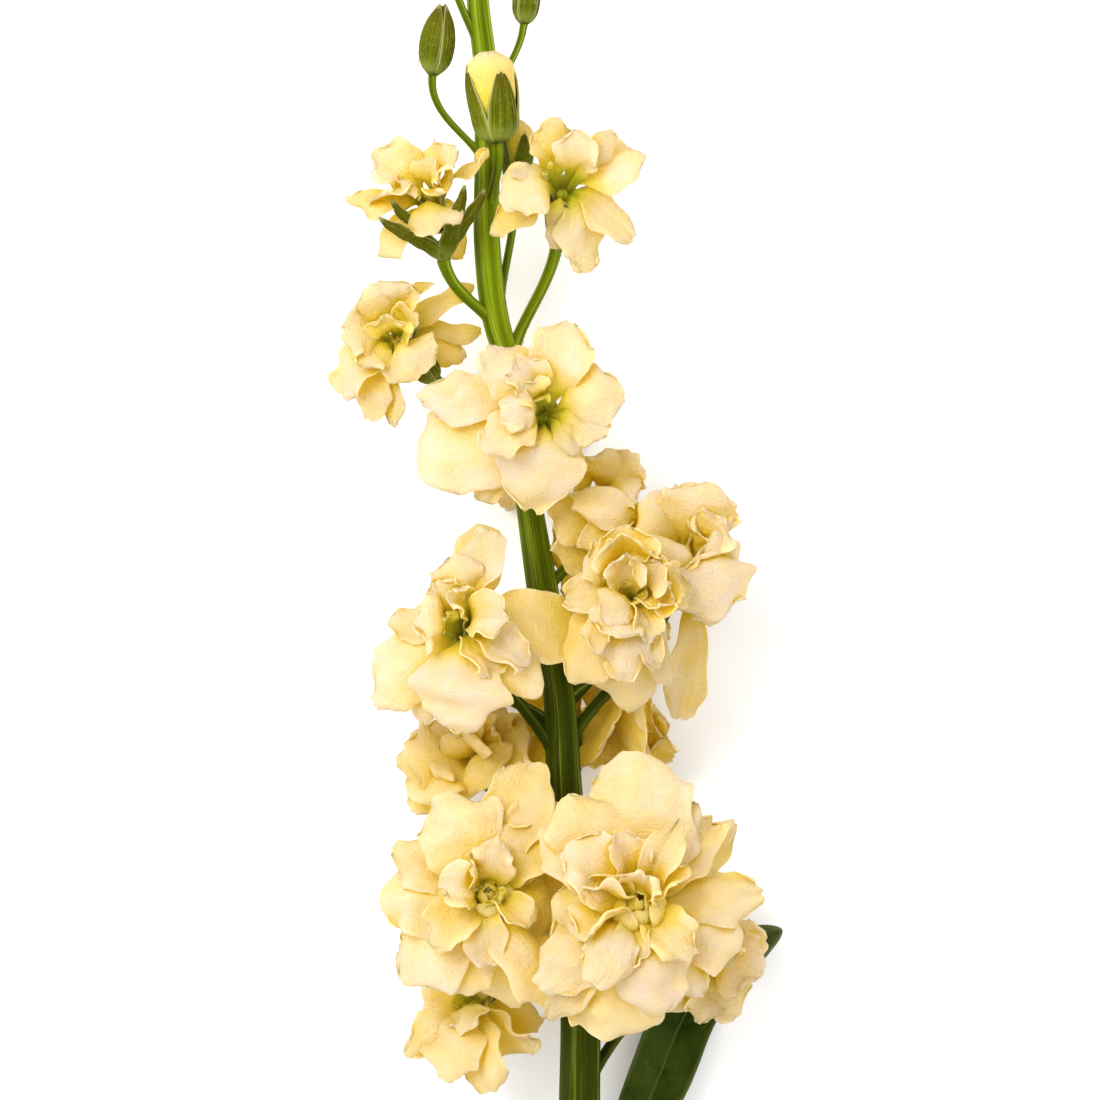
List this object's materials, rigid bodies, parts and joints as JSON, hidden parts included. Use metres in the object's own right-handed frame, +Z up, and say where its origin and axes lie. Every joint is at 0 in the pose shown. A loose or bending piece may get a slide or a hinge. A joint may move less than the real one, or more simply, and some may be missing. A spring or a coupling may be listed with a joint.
{
  "type": "cut flower stem",
  "caption": "Cut stem of double stock lying on its side, with crinkled pale cream-yellow blooms, green buds, sepals and long dark green leaves.",
  "frame": {"origin": "on the surface that the stem lies on, under the middle of its bounding box", "axes": "+Y along the stem towards its flowering tip, +X to the right seen from above, +Z up"},
  "size_m": [0.0703, 0.3203, 0.0475],
  "materials": {
    "petal": "thin matt petal, lets light through",
    "sepal": "matt green, fine short hairs",
    "bud": "matt yellow-green, fine short hairs",
    "leaf": "dark green, slightly waxy",
    "stem": "fresh green stalk, ridged, satin"
  },
  "bodies": {
    "root": {"bloom_01": "petal", "bloom_02": "petal", "bloom_03": "petal", "bloom_04": "petal", "bloom_05": "petal", "bloom_06": "petal", "bloom_07": "petal", "bloom_08": "petal", "bloom_09": "petal", "bloom_10": "petal", "bloom_11": "petal", "bloom_12": "petal", "bloom_13": "petal", "bloom_14": "petal", "bloom_15": "petal", "bloom_16": "petal", "bloom_17": "petal", "bloom_18": "petal", "bud_01": "bud", "bud_02": "bud", "bud_03": "bud", "bud_03_petals": "petal", "bud_04": "bud", "bud_04_petals": "petal", "bud_05": "bud", "bud_06": "bud", "bud_07": "bud", "bud_08": "bud", "calyx_01": "sepal", "calyx_02": "sepal", "calyx_03": "sepal", "calyx_04": "sepal", "calyx_05": "sepal", "calyx_06": "sepal", "calyx_07": "sepal", "calyx_08": "sepal", "calyx_09": "sepal", "calyx_10": "sepal", "calyx_11": "sepal", "calyx_12": "sepal", "calyx_13": "sepal", "calyx_14": "sepal", "calyx_15": "sepal", "calyx_16": "sepal", "calyx_17": "sepal", "calyx_18": "sepal", "leaf_1": "leaf", "leaf_2": "leaf", "leaf_3": "leaf", "leaf_4": "leaf", "leaf_5": "leaf", "stem": "stem", "tip_buds": "bud"}
  },
  "joints": []
}
